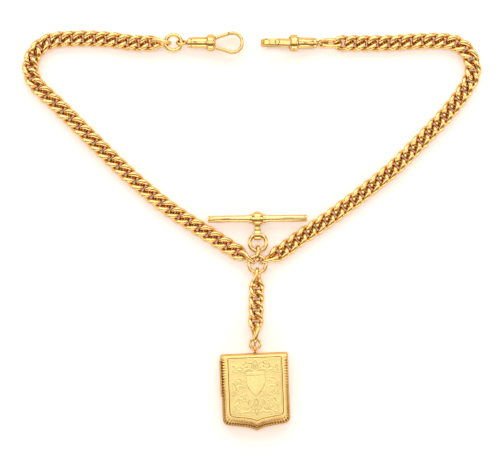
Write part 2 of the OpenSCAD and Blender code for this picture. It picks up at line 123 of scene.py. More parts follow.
def new_material(name):
    """An empty material: itself, its nodes, its links and its shader."""
    material = bpy.data.materials.new(name)
    material.use_nodes = True
    nodes = material.node_tree.nodes
    return material, nodes, material.node_tree.links, nodes["Principled BSDF"]


def mix_colour(nodes, links, factor, low, high):
    """A colour mix: factor is a socket, low and high are colours or sockets."""
    mix = nodes.new("ShaderNodeMix")
    mix.data_type = "RGBA"
    links.new(factor, mix.inputs["Factor"])
    for socket, value in (("A", low), ("B", high)):
        target = [s for s in mix.inputs if s.name == socket and s.type == "RGBA"][0]
        if isinstance(value, tuple):
            target.default_value = (*value, 1.0)
        else:
            links.new(value, target)
    return [s for s in mix.outputs if s.type == "RGBA"][0]


def map_range(nodes, links, value, low, high, to_low=0.0, to_high=1.0):
    """A socket that stretches low..high to to_low..to_high."""
    node = nodes.new("ShaderNodeMapRange")
    links.new(value, node.inputs["Value"])
    node.inputs["From Min"].default_value = low
    node.inputs["From Max"].default_value = high
    node.inputs["To Min"].default_value = to_low
    node.inputs["To Max"].default_value = to_high
    return node.outputs["Result"]


def noise(nodes, links, scale, detail=3.0):
    """A noise value over the object's own coordinates; scale is in features to a metre."""
    place = nodes.new("ShaderNodeTexCoord")
    node = nodes.new("ShaderNodeTexNoise")
    node.inputs["Scale"].default_value = scale
    node.inputs["Detail"].default_value = detail
    links.new(place.outputs["Object"], node.inputs["Vector"])
    return node.outputs["Fac"]


def metal(name, colour, crease_shade, worn, roughness):
    """Polished metal: painted shade darkens its creases, brighter on worn edges, finely scratched."""
    material, nodes, links, shader = new_material(name)
    shader.inputs["Metallic"].default_value = 1.0
    shader.inputs["Specular Tint"].default_value = (0.5, 0.26, 0.1, 1.0)
    cloudy = map_range(nodes, links, noise(nodes, links, 260.0), 0.35, 0.65)
    tint = tuple(0.9 * c for c in colour)
    base = mix_colour(nodes, links, cloudy, tint, colour)
    # painted shade: ambient occlusion pulls the base colour towards the crease shade colour in creases and gaps
    shade = nodes.new("ShaderNodeAmbientOcclusion")
    shade.inputs["Distance"].default_value = 1.2 * MM
    shade.samples = 8
    depth = map_range(nodes, links, shade.outputs["AO"], 0.25, 0.8, 1.0, 0.0)
    base = mix_colour(nodes, links, depth, base, crease_shade)
    geometry = nodes.new("ShaderNodeNewGeometry")
    edge = map_range(nodes, links, geometry.outputs["Pointiness"], 0.53, 0.62)
    base = mix_colour(nodes, links, edge, base, worn)
    links.new(base, shader.inputs["Base Color"])
    grain = noise(nodes, links, 1400.0, 5.0)
    links.new(map_range(nodes, links, grain, 0.3, 0.7, roughness - 0.05, roughness + 0.07),
              shader.inputs["Roughness"])
    bump = nodes.new("ShaderNodeBump")
    bump.inputs["Strength"].default_value = 0.12
    bump.inputs["Distance"].default_value = 0.02 * MM
    links.new(noise(nodes, links, 5200.0, 2.0), bump.inputs["Height"])
    links.new(bump.outputs["Normal"], shader.inputs["Normal"])
    return material


def glass(name):
    """Clear, with a faint smear."""
    material, nodes, links, shader = new_material(name)
    shader.inputs["Base Color"].default_value = (0.93, 0.96, 0.95, 1.0)
    shader.inputs["Transmission Weight"].default_value = 0.9
    shader.inputs["IOR"].default_value = 1.5
    smear = noise(nodes, links, 300.0)
    links.new(map_range(nodes, links, smear, 0.4, 0.7, 0.02, 0.1), shader.inputs["Roughness"])
    return material


# The third colour of each metal is the painted shade in its creases and gaps.
GOLD = metal("gold", (1.0, 0.69, 0.26), (0.66, 0.33, 0.12), (1.0, 0.80, 0.42), 0.2)
SMOOTH_GOLD = metal("smooth_gold", (0.95, 0.67, 0.26), (0.42, 0.21, 0.07), (1.0, 0.82, 0.44), 0.2)
# a paler copy of the gold: painted highlight on the flat panel, which faces the overhead softbox
PALE_LIT_GOLD = metal("pale_gold", (1.0, 0.81, 0.34), (0.80, 0.44, 0.12), (1.0, 0.88, 0.48), 0.3)
# a darker copy of the gold: painted shade on the locket case, its bail, the rivets and the pins
DEEP_SHADED_GOLD = metal("deep_gold", (0.90, 0.52, 0.15), (0.42, 0.17, 0.05), (1.0, 0.74, 0.34), 0.24)
# a still darker copy of the gold: painted shade on the milled edge, the clips' shanks and flanges and the hinge
# knuckles
DARK_SHADED_GOLD = metal("milled_gold", (0.80, 0.44, 0.12), (0.22, 0.09, 0.03), (1.0, 0.70, 0.30), 0.3)
BORDER_GOLD = metal("border_gold", (1.0, 0.69, 0.26), (0.34, 0.14, 0.04), (1.0, 0.82, 0.44), 0.22)
STEEL = metal("spring_steel", (0.55, 0.56, 0.58), (0.2, 0.2, 0.22), (0.8, 0.8, 0.82), 0.3)
CRYSTAL = glass("crystal")


# ---- Mesh helpers ----------------------------------------------------------------------

CREASE_ANGLE = math.radians(50)
RING_STEPS = 96


def unit(v):
    """A vector, or each row of vectors, at length 1."""
    v = np.asarray(v, float)
    return v / np.linalg.norm(v, axis=-1, keepdims=True)


class Place:
    """A local frame in mm: an origin in the row frame and three unit axes."""

    def __init__(self, origin, x, y):
        self.origin = np.asarray(origin, float)
        self.x = unit(x)
        self.z = unit(np.cross(self.x, y))
        self.y = np.cross(self.z, self.x)

    def __call__(self, points):
        p = np.asarray(points, float) * MM
        return self.origin + p[..., :1] * self.x + p[..., 1:2] * self.y + p[..., 2:3] * self.z

    def local(self, points):
        """Points of the row frame, in this frame."""
        axes = np.stack([self.x, self.y, self.z], 1)
        return (np.asarray(points, float) - self.origin) @ axes / MM


def grid_faces(rows, columns, wrap_rows=False, wrap_columns=False):
    """Quads between neighbouring points of a grid stored row by row."""
    faces = []
    for i in range(rows if wrap_rows else rows - 1):
        for j in range(columns if wrap_columns else columns - 1):
            i2, j2 = (i + 1) % rows, (j + 1) % columns
            faces.append((i * columns + j, i * columns + j2, i2 * columns + j2, i2 * columns + j))
    return faces


def end_faces(rows, columns):
    """The two flat ends of a grid stored row by row."""
    last = (rows - 1) * columns
    return [tuple(range(columns)), tuple(last + j for j in range(columns))]


def add_piece(name, points, faces, material, body, nodes):
    """A mesh in the row frame that rides on a body and stands for CAD nodes."""
    mesh = bpy.data.meshes.new(name)
    mesh.from_pydata([tuple(p) for p in points], [], faces)
    mesh.validate()
    mesh.materials.append(material)
    piece = bpy.data.objects.new(name, mesh)
    bpy.context.collection.objects.link(piece)
    bpy.context.view_layer.objects.active = piece
    bpy.ops.object.select_all(action="DESELECT")
    piece.select_set(True)
    bpy.ops.object.mode_set(mode="EDIT")
    bpy.ops.mesh.select_all(action="SELECT")
    bpy.ops.mesh.normals_make_consistent(inside=False)
    bpy.ops.object.mode_set(mode="OBJECT")
    mesh.shade_smooth()
    piece.modifiers.new("creases", "EDGE_SPLIT").split_angle = CREASE_ANGLE
    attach(piece, body)
    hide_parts(*nodes)


def revolve(profile, sides=72):
    """Turns a profile of (x, radius) about the local x axis."""
    points = []
    for x, r in profile:
        angles = np.linspace(0, 2 * math.pi, sides, endpoint=False)
        points.append(np.stack([np.full(sides, x), r * np.cos(angles), r * np.sin(angles)], 1))
    faces = grid_faces(len(profile), sides, wrap_columns=True)
    return np.concatenate(points), faces + end_faces(len(profile), sides)


def sweep(path, side, section, closed):
    """Carries a section of (along side, along normal) points down a path.

    side holds one direction for each path point, square to the path."""
    path, side = np.asarray(path, float), unit(side)
    if closed:
        ahead = np.roll(path, -1, 0) - np.roll(path, 1, 0)
    else:
        ahead = np.gradient(path, axis=0)
    side = unit(side - (side * unit(ahead)).sum(1, keepdims=True) * unit(ahead))
    normal = np.cross(unit(ahead), side)
    sections = np.asarray(section, float)
    if sections.ndim == 2:
        sections = np.repeat(sections[None], len(path), 0)
    points = (path[:, None] + sections[..., :1] * side[:, None]
              + sections[..., 1:2] * normal[:, None])
    count = sections.shape[1]
    faces = grid_faces(len(path), count, wrap_rows=closed, wrap_columns=True)
    if not closed:
        faces += end_faces(len(path), count)
    return points.reshape(-1, 3), faces


def rounded_section(width, height, power=2.0, sides=20):
    """A superellipse section: power 2 is an ellipse, and more is squarer."""
    t = np.linspace(0, 2 * math.pi, sides, endpoint=False)
    c, s = np.cos(t), np.sin(t)
    return np.stack([width / 2 * np.sign(c) * np.abs(c) ** (2 / power),
                     height / 2 * np.sign(s) * np.abs(s) ** (2 / power)], 1)


def torus(mean_r, wire):
    """A round ring in the local xy plane."""
    t = np.linspace(0, 2 * math.pi, RING_STEPS, endpoint=False)
    path = np.stack([mean_r * np.cos(t), mean_r * np.sin(t), 0 * t], 1)
    return sweep(path, np.tile(UP, (RING_STEPS, 1)), rounded_section(wire, wire), True)


def islands(node):
    """Each separate solid of a CAD node, as an array of its points in the row frame."""
    mesh = frame["nodes"][node].data
    keys = {}
    index = []
    for vertex in mesh.vertices:
        key = tuple(round(c * 1e7) for c in vertex.co)
        index.append(keys.setdefault(key, len(keys)))
    parent = list(range(len(keys)))

    def root(i):
        while parent[i] != i:
            parent[i] = parent[parent[i]]
            i = parent[i]
        return i

    for edge in mesh.edges:
        a, b = (root(index[v]) for v in edge.vertices)
        parent[a] = b
    solids = {}
    for key, i in keys.items():
        solids.setdefault(root(i), []).append([c * 1e-7 for c in key])
    return [np.array(points) for points in solids.values()]


# ---- Links -----------------------------------------------------------------------------

SQUARENESS = 2.7                # exponent of a link's rounded-rectangle outline
TWIST_EASE = 0.8                # exponent that moves the twist towards the link's middle
LINK_TWIST = 50.0
RING_END_WIRE = 1.25            # the end of a link that shares a ring is thinner
RING_END_HALF = 1.76
RING_END_TAPER = 0.1
LINK_REACH = 5.95               # a curb link, from mid wire to mid wire
LINK_WIRE = 1.6
LINK_STEPS = 72
LINK_SIDES = 16
NODES_PER_BRANCH = 13
DROP_LINKS = 6
LINK_SECTION = (1.03, 0.96, 2.2)    # breadth and depth of a wire of 1, and how square it is
SMALL_LINK_WIRE = 1.3


def signed_power(x, p):
    """A power of the size of x, with the sign of x."""
    return np.sign(x) * np.abs(x) ** p


def link_centreline(reach, half, turn_in, turn_out, widen, steps):
    """The centre line of a link, in mm, spaced evenly, with x from in end to out end."""
    t = np.linspace(0, 2 * math.pi, 2000, endpoint=False)
    u = signed_power(np.cos(t), 2 / SQUARENESS)
    v = signed_power(np.sin(t), 2 / SQUARENESS)
    turn = np.radians((turn_in + turn_out) / 2
                      + (turn_out - turn_in) / 2 * signed_power(u, TWIST_EASE))
    b = half * (1 + widen * u)
    p = np.stack([reach / 2 * u, b * v * np.cos(turn), b * v * np.sin(turn)], 1)
    length = np.concatenate([[0], np.cumsum(np.linalg.norm(np.roll(p, -1, 0) - p, axis=1))])
    at = np.linspace(0, length[-1], steps, endpoint=False)
    closed = np.concatenate([p, p[:1]])
    return np.stack([np.interp(at, length, closed[:, k]) for k in range(3)], 1)


def link_mesh(reach, half, wire_in, wire_out, turn_in, turn_out, widen):
    """A twisted link whose wire is slightly broader than it is thick."""
    path = link_centreline(reach, half, turn_in, turn_out, widen, LINK_STEPS)
    outward = unit(path * np.array([0.6, 1.0, 1.0]))
    share = path[:, 0] / reach + 0.5
    wire = wire_in + (wire_out - wire_in) * share
    section = rounded_section(*LINK_SECTION, LINK_SIDES)
    return sweep(path, outward, section[None] * wire[:, None, None], True)


def link_frames(node):
    """Centre, heading and size of each link in a node, in no particular order."""
    found = []
    for points in islands(node):
        middle = points.mean(0)
        axis = np.linalg.svd(points - middle, full_matrices=False)[2][0]
        along = (points - middle) @ axis
        centre = middle + axis * (along.max() + along.min()) / 2
        found.append((centre, axis, (along.max() - along.min()) / MM))
    return found


def branch_links(side):
    """Every link of a branch, in order from the junction ring outwards."""
    links = []
    here = np.array(JOINTS[f"{side}_bend_01"]["pos_m"])
    for group in range(1, NODES_PER_BRANCH + 1):
        node = f"{side}_links_{group:02d}"
        waiting = link_frames(node)
        while waiting:
            waiting.sort(key=lambda item: np.linalg.norm(item[0] - here))
            centre, axis, _ = waiting.pop(0)
            if np.dot(axis, centre - here) < 0:
                axis = -axis
            links.append((node, centre, axis))
            here = centre
    return links


def add_link(name, centre, heading, shape, node):
    """A link that rides on the body with its node's name."""
    points, faces = link_mesh(*shape)
    wire_in, wire_out = shape[2:4]
    middle = centre - heading * (wire_out - wire_in) / 4 * MM
    place = Place(middle, heading, np.cross(UP, heading))
    add_piece(name, place(points), faces, GOLD, node, [node])


# reach, half width, wire at the in end and the out end, twist at each end, and how much
# wider the out end is
CURB = (LINK_REACH, 2.05, LINK_WIRE, LINK_WIRE, LINK_TWIST, -LINK_TWIST, 0.0)
FIRST_LINK = (LINK_REACH, RING_END_HALF, RING_END_WIRE, LINK_WIRE, -90.0, -LINK_TWIST,
              RING_END_TAPER)
LAST_LEFT_LINK = (LINK_REACH, 1.95, LINK_WIRE, RING_END_WIRE, LINK_TWIST, 90.0,
                  -RING_END_TAPER)
OVAL_RING = (6.0, 1.7, 1.4, 1.4, 45.0, 45.0, 0.0)


def add_branch(side):
    """Each curb link of a branch, thinner where it shares a ring."""
    links = branch_links(side)
    for k, (node, centre, heading) in enumerate(links):
        shape = CURB
        if k == 0:
            shape = FIRST_LINK
        elif side == "left" and k == len(links) - 1:
            shape = LAST_LEFT_LINK
        add_link(f"{side}_link_{k + 1:02d}", centre, heading, shape, node)


DROP_SCALE = 0.95
DROP_WIRE = 1.44
LAST_DROP_EXTRA = 0.8           # the last drop link is longer by this much
LAST_DROP_WIRE = 1.2
DROP_CURB = (CURB[0] * DROP_SCALE, CURB[1] * DROP_SCALE, DROP_WIRE, DROP_WIRE,
             LINK_TWIST, -LINK_TWIST, 0.0)
FIRST_DROP = (DROP_CURB[0], RING_END_HALF + 0.1, RING_END_WIRE, DROP_CURB[3],
              -90.0, -LINK_TWIST, RING_END_TAPER)
LAST_DROP = (DROP_CURB[0] + LAST_DROP_EXTRA, RING_END_HALF, DROP_CURB[2], LAST_DROP_WIRE,
             LINK_TWIST, 90.0, -RING_END_TAPER)


def add_drop_chain():
    """The short chain from the junction ring down to the locket."""
    here = np.array(JOINTS["drop_bend_1"]["pos_m"])
    for k in range(1, DROP_LINKS + 1):
        node = f"drop_link_{k}"
        centre, axis, _ = link_frames(node)[0]
        if np.dot(axis, centre - here) < 0:
            axis = -axis
        shape = {1: FIRST_DROP, DROP_LINKS: LAST_DROP}.get(k, DROP_CURB)
        add_link(f"drop_link_look_{k}", centre, axis, shape, node)
        here = centre


# ---- Rings -----------------------------------------------------------------------------

def add_flat_ring(node):
    """A round ring that lies level, sized from its CAD node, on the body of that name."""
    low, high = (np.array(corner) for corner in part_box(node))
    wire = (high[2] - low[2]) / MM
    mean_r = (high[0] - low[0]) / MM / 2 - wire / 2
    points, faces = torus(mean_r, wire)
    place = Place((low + high) / 2, (1, 0, 0), (0, 1, 0))
    add_piece(node + "_look", place(points), faces, SMOOTH_GOLD, node, [node])


def add_oval_ring():
    """The long ring between the right branch and the right clip."""
    centre, axis, _ = link_frames("right_ring")[0]
    if axis[0] > 0:
        axis = -axis
    add_link("right_ring_look", centre, axis, OVAL_RING, "right_ring")


def add_t_bar_link():
    """The small upright link between the T-bar ring and the junction ring."""
    centre, axis, size = link_frames("t_bar_link")[0]
    wire = SMALL_LINK_WIRE
    shape = (size - wire, 1.66, wire, wire, 80.0, 100.0, 0.0)
    add_link("t_bar_link_look", centre, axis if axis[1] > 0 else -axis, shape, "t_bar_link")


# ---- T-bar -----------------------------------------------------------------------------

STRAP_R = 2.36
STRAP_W = 2.1
STRAP_T = 0.26
T_EYE_HOLE_R = 1.25
T_EYE_RIM = 0.75


def t_bar_place():
    """The T-bar's frame: x along the bar, and the eye on the -y side of its middle."""
    along = np.array(MOUNTS["t_bar"]["axis"])
    return Place(MOUNTS["t_bar"]["pos_m"], along, np.cross(UP, along))


def add_t_bar():
    """The tube, its end caps, and the ball with its strap."""
    place = t_bar_place()
    bar_r = MOUNTS["t_bar"]["dims"]["r_mm"]
    half = MOUNTS["t_bar"]["dims"]["length_mm"] / 2
    rod = [(-half, bar_r - 0.3), (-half, bar_r - 0.04), (-half + 0.04, bar_r),
           (half - 0.04, bar_r), (half, bar_r - 0.04), (half, bar_r - 0.3)]
    points, faces = revolve(rod)
    add_piece("t_bar_rod_look", place(points), faces, SMOOTH_GOLD, "t_bar", ["t_bar_rod"])
    for name, sign in (("left", -1), ("right", 1)):
        cap = [(0.0, bar_r - 0.35), (0.06, bar_r - 0.06), (0.12, bar_r), (0.4, bar_r)]
        cap += [(0.4 + 0.3 * math.sin(a), bar_r - 0.3 * (1 - math.cos(a)))
                for a in np.radians(range(15, 91, 15))]
        cap.append((0.7, 0.0))
        points, faces = revolve([(sign * (half + x), r) for x, r in cap])
        add_piece(f"t_bar_cap_{name}", place(points), faces, SMOOTH_GOLD, "t_bar",
                  ["t_bar_caps"])
    ball = [(-2.9, bar_r - 0.1), (-2.9, 1.52), (-2.84, 1.6), (-2.6, 1.62), (-2.5, 1.53),
            (-2.25, 1.56), (-2.0, 1.64), (-1.8, 1.74)]
    ball += [(x, 2.45 - 0.24 * x * x) for x in np.linspace(-1.6, 0, 12)]
    ball += [(-x, r) for x, r in ball[-2::-1]]
    points, faces = revolve(ball, 96)
    add_piece("t_bar_ball_look", place(points), faces, SMOOTH_GOLD, "t_bar",
              ["t_bar_ball"])
    t = np.linspace(0, 2 * math.pi, 97)[:-1]
    path = np.stack([0 * t, STRAP_R * np.cos(t), STRAP_R * np.sin(t)], 1)
    section = rounded_section(STRAP_W, STRAP_T, 4.0, 28)
    points, faces = sweep(path, np.tile([1.0, 0, 0], (len(t), 1)), section, True)
    add_piece("t_bar_strap", place(points), faces, SMOOTH_GOLD, "t_bar", ["t_bar_ball"])


def add_t_bar_eye():
    """The band that hangs from the ball: a neck that flares into a flat-sided eye."""
    place = t_bar_place()
    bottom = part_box("t_bar_eye")[0][1]
    drop = (place.origin[1] - bottom) / MM - T_EYE_HOLE_R - T_EYE_RIM
    t = np.radians(np.linspace(90, 450, 73)[:-1])
    r = T_EYE_HOLE_R + T_EYE_RIM / 2
    path = np.stack([0 * t, -drop + r * np.sin(t), r * np.cos(t)], 1)
    width = 2.35 - 0.2 * np.sin(t)
    unit_section = rounded_section(1.0, T_EYE_RIM, 3.2, 20)
    section = unit_section[None] * np.stack([width, np.ones_like(width)], 1)[:, None]
    points, faces = sweep(path, np.tile([1.0, 0, 0], (len(t), 1)), section, True)
    add_piece("t_bar_eye_look", place(points), faces, SMOOTH_GOLD, "t_bar", ["t_bar_eye"])
    neck = [(1.2, 1.15), (2.3, 1.08), (2.7, 0.98), (3.1, 0.95),
            (drop - T_EYE_HOLE_R + 0.1, 1.05)]
    points, faces = revolve(neck, 48)
    points = np.stack([points[:, 1], -points[:, 0], points[:, 2]], 1)
    add_piece("t_bar_neck_look", place(points), faces, SMOOTH_GOLD, "t_bar", ["t_bar_eye"])


# ---- Dog clips -------------------------------------------------------------------------

# Lengths in mm. Those along the clip start at the middle of its swivel eye.
CLIP_LENGTH = 21.8
EYE_R = 1.5
EYE_WIRE = 1.0
BARREL_FROM = 2.2
CAP_END = 3.5                   # the groove between the barrel's end cap and the barrel
BARREL_TO = 9.0
BARREL_R = 1.9
COLLAR_TO = 11.5
COLLAR_R = 2.9
HOOK_R = 3.95                   # outside radius of the bent end
BAND_T = 1.1
BAND_W = 2.6
ARM_Y = 1.9                     # outside of the arms at the collar, from the middle
NOTCH_X = 16.6                  # where the gate meets the hook's nose
NOTCH_GAP = 0.3
CHEVRON = 0.8                   # depth of the point in that joint
CHEVRON_FADE = 1.6
GATE_FROM = 12.0


def clip_place(side):
    """A clip's frame: x from the swivel eye to the tip, and the gate on the +y side."""
    origin = JOINTS[f"{side}_clip_swing"]["pos_m"]
    x = np.array(JOINTS[f"{side}_clip_swivel"]["axis"])
    z = -np.array(JOINTS[f"{side}_gate_hinge"]["axis"])
    return Place(origin, x, np.cross(z, x))


def hook_lines():
    """The middle of the band: the gate, and the hook from its nose round to the lower arm."""
    r = HOOK_R - BAND_T / 2
    h = ARM_Y - BAND_T / 2
    centre = CLIP_LENGTH - HOOK_R
    start = COLLAR_TO - 0.5
    reach = start - centre
    leave = math.atan2(h, reach) - math.acos(r / math.hypot(reach, h))
    arc = [(centre + r * math.cos(a), r * math.sin(a)) for a in np.linspace(leave, -leave, 97)]
    ahead = unit(np.array(arc[0]) - (start, h))

    def upper(x):
        return np.array((start, h)) + ahead * (x - start) / ahead[0]

    gate = [upper(x) for x in np.linspace(GATE_FROM, NOTCH_X - NOTCH_GAP / 2, 41)]
    nose = [upper(x) for x in np.linspace(NOTCH_X + NOTCH_GAP / 2, arc[0][0] - 0.02, 5)]
    lower = [np.array((x, -y)) for x, y in
             [upper(x) for x in np.linspace(arc[0][0], start, 41)[1:]]]
    lines = []
    for flat in (gate, nose + arc + lower):
        flat = np.array([np.asarray(p, float) for p in flat])
        lines.append(np.column_stack([flat, np.zeros(len(flat))]))
    return lines


def band(path, notch_first):
    """The flat band that the hook is bent from, with a chevron at its notch end."""
    section = rounded_section(BAND_W, BAND_T, 3.4, 28)
    points, faces = sweep(path, np.tile(UP, (len(path), 1)), section, False)
    grid = points.reshape(len(path), len(section), 3)
    length = np.concatenate([[0], np.cumsum(np.linalg.norm(np.diff(path, axis=0), axis=1))])
    ahead = unit(path[1] - path[0]) if notch_first else unit(path[-1] - path[-2])
    gap = length if notch_first else length[-1] - length
    share = np.clip(1 - gap / CHEVRON_FADE, 0, 1)
    across = 1 - np.abs(section[:, 0]) / (BAND_W / 2)
    grid -= CHEVRON * (share[:, None] * across[None])[..., None] * ahead
    return grid.reshape(-1, 3), faces


def add_rivet(name, place, at, up, body, node):
    """A small peened rivet head that faces along z (up is 1) or against it (-1)."""
    head = [(-0.3, 0.42), (0.0, 0.42), (0.06, 0.38), (0.1, 0.3), (0.12, 0.15), (0.13, 0.0)]
    points, faces = revolve(head, 32)
    points = np.column_stack([points[:, 1], points[:, 2], points[:, 0] * up]) + np.array(at)
    add_piece(name, place(points), faces, DEEP_SHADED_GOLD, body, [node])


def add_clip(side):
    """A dog clip: swivel eye, barrel, collar, hook, gate and rivets."""
    place = clip_place(side)
    body = f"{side}_clip"
    # the swivel eye, on its own body, keeps the CAD's roll about the clip's axis
    eye_body = f"{side}_clip_eye"
    eye_points = np.array([v.co for v in frame["nodes"][f"{side}_clip_eye"].data.vertices])
    local = place.local(eye_points)
    ring = local[np.abs(local[:, 0]) < 0.3]
    far = ring[np.argmax(np.hypot(ring[:, 1], ring[:, 2]))]
    roll = np.array([0.0, far[1], far[2]])
    eye = Place(place.origin, place.x, place.y * roll[1] + place.z * roll[2])
    points, faces = torus(EYE_R, EYE_WIRE)
    add_piece(f"{side}_eye_ring", eye(points), faces, SMOOTH_GOLD, eye_body,
              [f"{side}_clip_eye"])
    shank = [(EYE_R, 0.5), (EYE_R + 0.3, 0.7), (BARREL_FROM - 0.1, 0.85),
             (BARREL_FROM + 1.4, 0.85)]
    points, faces = revolve(shank, 32)
    add_piece(f"{side}_eye_shank", place(points), faces, DARK_SHADED_GOLD, eye_body,
              [f"{side}_clip_eye"])

    r = BARREL_R
    barrel = [(BARREL_FROM, 0.7), (BARREL_FROM, r - 0.42), (BARREL_FROM + 0.08, r - 0.3),
              (BARREL_FROM + 0.32, r - 0.12), (CAP_END - 0.3, r - 0.1),
              (CAP_END - 0.22, r - 0.14), (CAP_END - 0.12, r - 0.3), (CAP_END, r - 0.3),
              (CAP_END + 0.1, r - 0.08), (CAP_END + 0.2, r), (BARREL_TO - 1.2, r),
              (BARREL_TO - 0.7, r + 0.05), (BARREL_TO - 0.4, r + 0.2),
              (BARREL_TO - 0.15, r + 0.22), (BARREL_TO - 0.05, r + 0.1), (BARREL_TO, r - 0.1)]
    points, faces = revolve(barrel, 96)
    add_piece(f"{side}_barrel", place(points), faces, SMOOTH_GOLD, body,
              [f"{side}_clip_barrel"])

    half = (COLLAR_TO - BARREL_TO) / 2
    collar = [(BARREL_TO, 1.5)]
    collar += [(BARREL_TO + half + half * math.copysign(abs(math.cos(a)) ** 0.75, -math.cos(a)),
                COLLAR_R - 0.72 + 0.72 * math.sin(a) ** 0.75)
               for a in np.radians(np.linspace(0, 180, 29))]
    collar += [(COLLAR_TO - 0.15, 1.5)]
    points, faces = revolve(collar, 96)
    add_piece(f"{side}_collar", place(points), faces, SMOOTH_GOLD, body,
              [f"{side}_clip_hook"])

    # the flange is in the darkest gold: painted shade beside the collar
    flange = [(COLLAR_TO - 0.3, 1.2), (COLLAR_TO - 0.3, 2.3), (COLLAR_TO, 2.3),
              (COLLAR_TO + 0.3, 2.15), (COLLAR_TO + 0.36, 1.95), (COLLAR_TO + 0.2, 1.2)]
    points, faces = revolve(flange, 72)
    add_piece(f"{side}_flange", place(points), faces, DARK_SHADED_GOLD, body,
              [f"{side}_clip_hook"])

    gate_line, nose_line = hook_lines()
    points, faces = band(nose_line, notch_first=True)
    add_piece(f"{side}_hook", place(points), faces, SMOOTH_GOLD, body,
              [f"{side}_clip_hook"])
    points, faces = band(gate_line, notch_first=False)
    add_piece(f"{side}_gate", place(points), faces, SMOOTH_GOLD, f"{side}_gate",
              [f"{side}_clip_gate"])
    root = place.local(JOINTS[f"{side}_gate_hinge"]["pos_m"])
    path = np.linspace(root, (GATE_FROM + 0.4, ARM_Y - BAND_T / 2 + 0.28, 0.0), 12)
    points, faces = sweep(path, np.tile(UP, (12, 1)), rounded_section(1.4, 1.15, 3.0), False)
    add_piece(f"{side}_gate_root", place(points), faces, SMOOTH_GOLD, f"{side}_gate",
              [f"{side}_clip_gate"])
    reach_z = math.sqrt(COLLAR_R ** 2 - root[1] ** 2) - 0.1
    for end, sign in (("a", 1), ("b", -1)):
        add_rivet(f"{side}_rivet_{end}", place, (root[0], root[1], sign * reach_z), sign,
                  body, f"{side}_clip_hook")


# ---- Locket ----------------------------------------------------------------------------

# Lengths in mm. y is 0 at the middle of the back's mount and points at the bail.
LOCKET_W = 23.6
LOCKET_H = 27.1
LOCKET_TOP = 13.5
CASE_T = 3.1
SEAM = 0.06                     # gap between the case and the cover
COVER_T = 2.2
PANEL_T = 0.6
HALF_W = LOCKET_W / 2
LOCKET_TIP = LOCKET_TOP - LOCKET_H
PANEL_HALF = 9.3                # half the panel's width
PANEL_SHIFT = 0.2               # the panel sits this far right of the middle
PANEL_TOP = LOCKET_TOP - 1.4
PANEL_FOOT = -8.15              # where the panel's sides end
PANEL_TIP = -9.75
PANEL_BEAD = 0.5
COVER_INSET = 0.3
BORDER_RISE = 0.9               # height of the cover's convex border
BORDER_STEPS = (0.01, 0.03, 0.06, 0.09, 0.13, 0.17, 0.21, 0.26, 0.35, 0.5, 0.65, 0.8, 0.9, 1)
LOBE_PITCH = 1.0                # spacing of the lobes of the milled edge
HINGE_FROM = -1.1
HINGE_LENGTH = 12.7
KNUCKLES = 5
KNUCKLE_R = 0.55
BAIL_R = 1.25
BAIL_WIRE = 0.9


def shield_side(w, top, foot, tip, r, r_top):
    """The left half of a shield, from the middle of its top edge to its point."""
    points = [(x, top) for x in np.linspace(0, -w + r_top, 80)]
    points += [(-w + r_top + r_top * math.cos(a), top - r_top + r_top * math.sin(a))
               for a in np.radians(np.linspace(100, 180, 12))]
    points += [(-w, y) for y in np.linspace(top - r_top, foot + r, 160)[1:]]
    points += [(-w + r + r * math.cos(a), foot + r + r * math.sin(a))
               for a in np.radians(np.linspace(185, 250, 30))]
    start = points[-1]
    for s in np.linspace(0, 1, 96)[1:]:
        x = start[0] * (1 - s)
        flat = start[1] + (tip - start[1]) * (0.62 * s + 0.38 * s ** 6)
        points.append((x, flat))
    return np.array(points)


def shield(w, top, foot, tip, r, r_top):
    """A whole shield outline, as a loop."""
    left = shield_side(w, top, foot, tip, r, r_top)
    right = left[1:-1][::-1] * np.array([-1.0, 1.0])
    return np.concatenate([left, right])


def locket_outline(inset):
    return shield(HALF_W - inset, LOCKET_TOP - inset, LOCKET_TIP + 2.2 + inset,
                  LOCKET_TIP + 1.3 * inset, max(0.5, 2.4 - inset), max(0.25, 0.6 - inset))


def panel_outline(inset):
    loop = shield(PANEL_HALF - inset, PANEL_TOP - inset, PANEL_FOOT + inset,
                  PANEL_TIP + 1.3 * inset, max(0.4, 1.6 - inset), max(0.2, 0.4 - inset))
    return loop + np.array([PANEL_SHIFT, 0.0])


def level(loop, z):
    """A loop of the locket's plane, at one height."""
    return np.column_stack([loop, np.full(len(loop), z)])


def stack(loops):
    """A closed skin through loops of equal length, with flat ends."""
    points = np.concatenate(loops)
    count = len(loops[0])
    faces = grid_faces(len(loops), count, wrap_columns=True)
    return points, faces + end_faces(len(loops), count)


def locket_place():
    """The locket's frame: y towards the bail and z out of the cover."""
    up = -np.array(JOINTS["locket_cover_hinge"]["axis"])
    return Place(MOUNTS["locket_back"]["pos_m"], np.cross(up, UP), up)


def distance_to(points, lines):
    """The distance of each point of a plane to the nearest of some polylines."""
    best = np.full(len(points), 1e9)
    for line in lines:
        a, b = line[:-1], line[1:]
        for p, q in zip(a, b):
            d = q - p
            s = np.clip(((points - p) @ d) / max(d @ d, 1e-12), 0, 1)
            best = np.minimum(best, np.linalg.norm(points - (p + s[:, None] * d), axis=1))
    return best


def leaf(base, tip, bulge):
    """Two arcs from base to tip that bound a leaf, and its middle line."""
    base, tip = np.array(base, float), np.array(tip, float)
    side = np.array([-(tip - base)[1], (tip - base)[0]])
    s = np.linspace(0, 1, 10)[:, None]
    bow = side * bulge * 4 * s * (1 - s)
    return [base + (tip - base) * s + bow, base + (tip - base) * s - bow,
            base + (tip - base) * s]


CARTOUCHE_W = 3.3               # half its greatest width
CARTOUCHE_TOP = 7.3
CARTOUCHE_TIP = -1.6
CARTOUCHE_BAND = 5.9            # height of the line across it
FLOURISH_TURNS = 0.9

